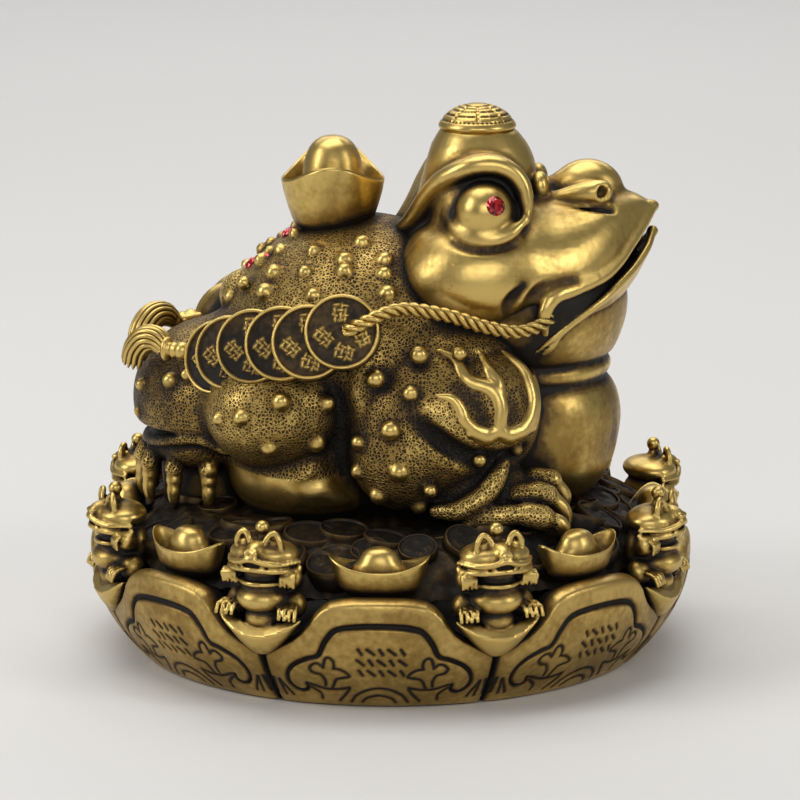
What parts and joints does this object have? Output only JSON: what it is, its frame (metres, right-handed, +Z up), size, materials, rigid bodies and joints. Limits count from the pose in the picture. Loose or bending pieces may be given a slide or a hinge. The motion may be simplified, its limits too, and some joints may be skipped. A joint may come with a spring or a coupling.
{
  "type": "money toad figure",
  "caption": "Cast brass three-legged toad with coin strings, a crown and an ingot on its back, seated on a round lotus base with small toads and ingots on the rim.",
  "frame": {"origin": "centre of the base's underside", "axes": "+Z up, +X the way the toad faces, +Y to the toad's left"},
  "size_m": [0.2182, 0.2182, 0.1973],
  "materials": {
    "base_brass": "antiqued, polished on the high places",
    "toad_brass": "antiqued, polished on the high places",
    "ingot_brass": "polished",
    "red_stone": "faceted, foil-backed"
  },
  "bodies": {
    "root": {"lotus_base": "base_brass", "toad": "toad_brass", "back_ingot": "ingot_brass", "eye_gem_right": "red_stone", "eye_gem_left": "red_stone", "back_gem_1": "red_stone", "back_gem_2": "red_stone", "back_gem_3": "red_stone", "back_gem_4": "red_stone", "back_gem_5": "red_stone", "back_gem_6": "red_stone", "back_gem_7": "red_stone"}
  },
  "joints": []
}
